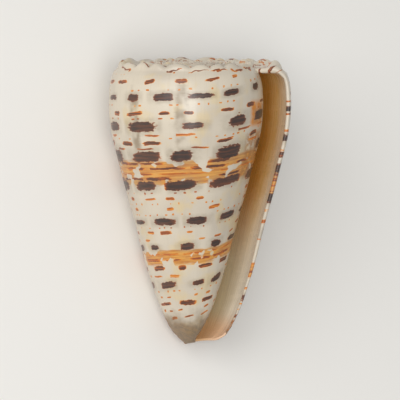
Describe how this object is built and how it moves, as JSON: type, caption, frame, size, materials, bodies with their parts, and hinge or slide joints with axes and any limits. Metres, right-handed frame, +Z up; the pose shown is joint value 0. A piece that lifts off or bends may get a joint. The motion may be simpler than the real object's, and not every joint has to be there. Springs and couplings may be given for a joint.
{
  "type": "cone shell",
  "caption": "Cone-shaped sea-snail shell with a flat knobbed spire and a long narrow aperture, lying on its back.",
  "frame": {"origin": "under the centre of the shell's box, on the surface that the shell lies on", "axes": "+X towards the spire, +Z up, out of the surface, -Y towards the outer lip"},
  "size_m": [0.079, 0.0464, 0.0431],
  "materials": {
    "shell": "satin-glossy cream shell with winding rows of brown and orange marks"
  },
  "bodies": {
    "root": {"shell": "shell"}
  },
  "joints": []
}
